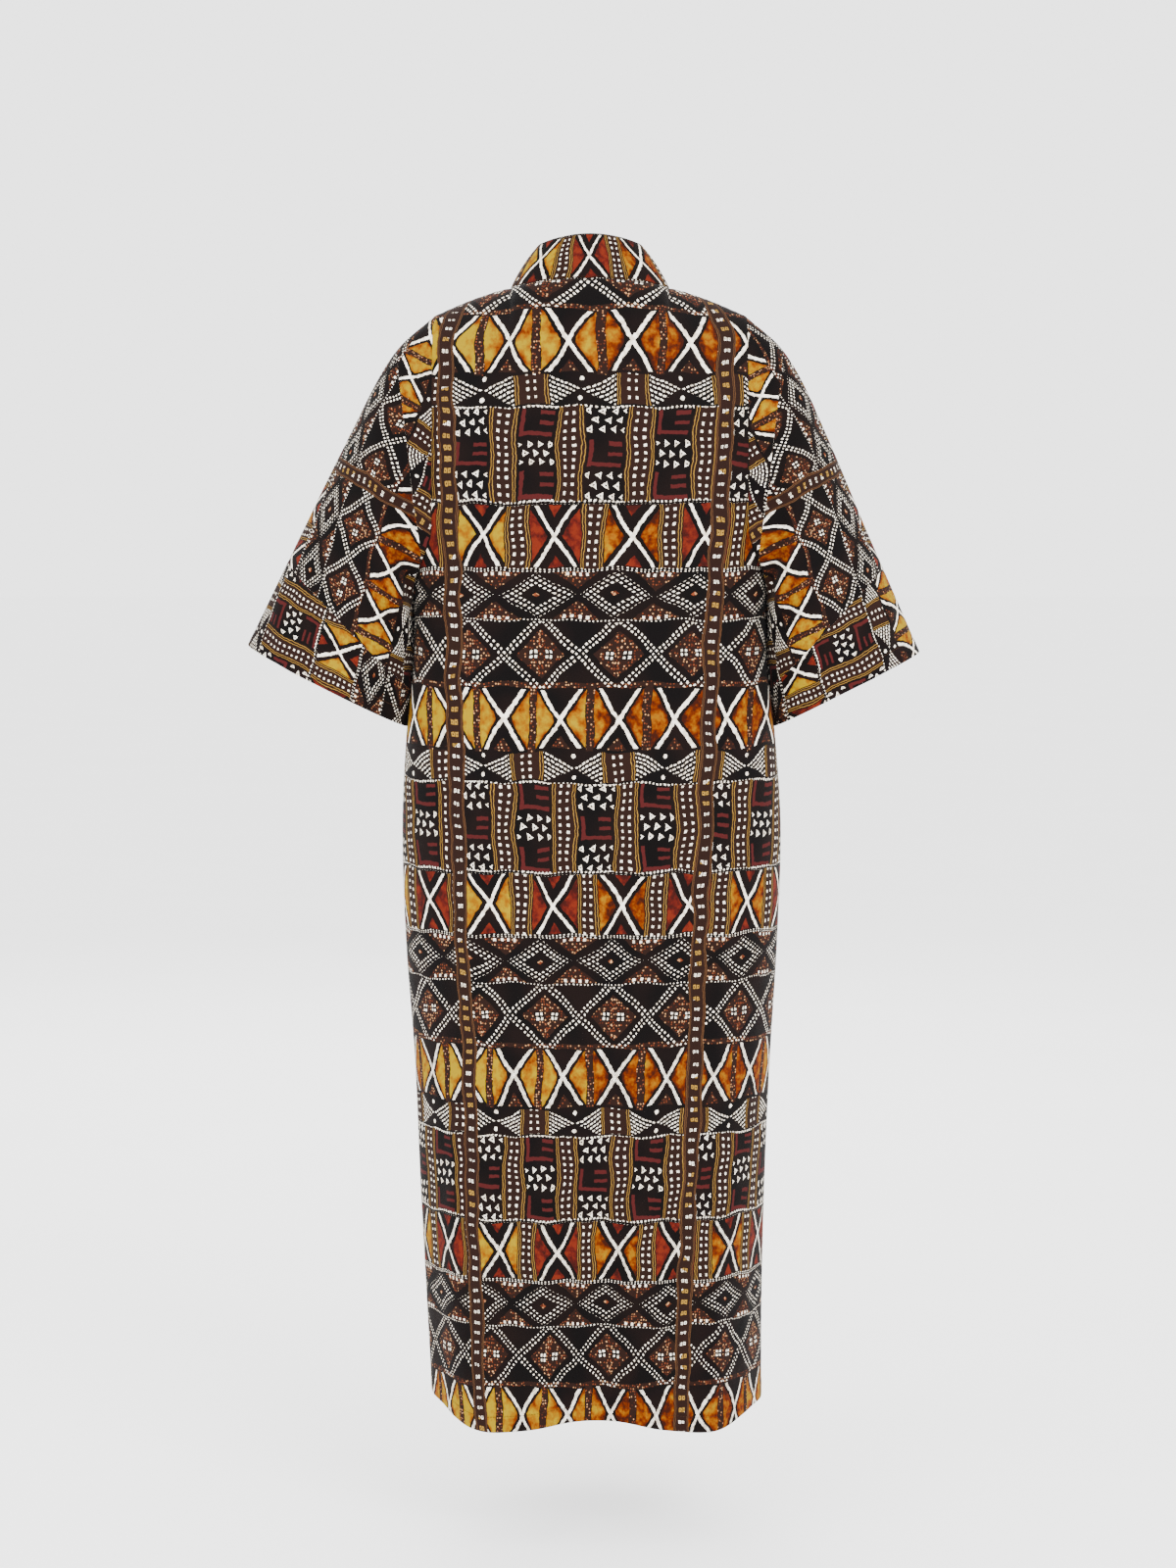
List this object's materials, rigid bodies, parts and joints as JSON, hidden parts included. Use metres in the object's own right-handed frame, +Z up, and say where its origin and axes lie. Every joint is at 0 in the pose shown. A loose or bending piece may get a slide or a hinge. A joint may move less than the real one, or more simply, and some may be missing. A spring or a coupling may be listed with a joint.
{
  "type": "kimono robe",
  "caption": "Long open-front kimono robe in printed cotton with wide short sleeves and a folded neckband, held in its worn shape.",
  "frame": {"origin": "middle of the neck opening, at the height of the two neck points where shoulder seam and neckband meet", "axes": "+Z up along the garment's length, the front faces -Y, the wearer's left is +X"},
  "size_m": [0.8106, 0.3133, 1.4251],
  "materials": {
    "body_cloth": "matt plain-weave cotton with a printed pattern",
    "sleeve_cloth": "matt plain-weave cotton with a printed pattern",
    "band_cloth": "folded plain-weave cotton with a printed pattern"
  },
  "bodies": {
    "root": {"back": "body_cloth", "front_left": "body_cloth", "front_right": "body_cloth", "sleeve_left": "sleeve_cloth", "sleeve_right": "sleeve_cloth", "band_left": "band_cloth", "band_right": "band_cloth", "band_back": "band_cloth"}
  },
  "joints": []
}
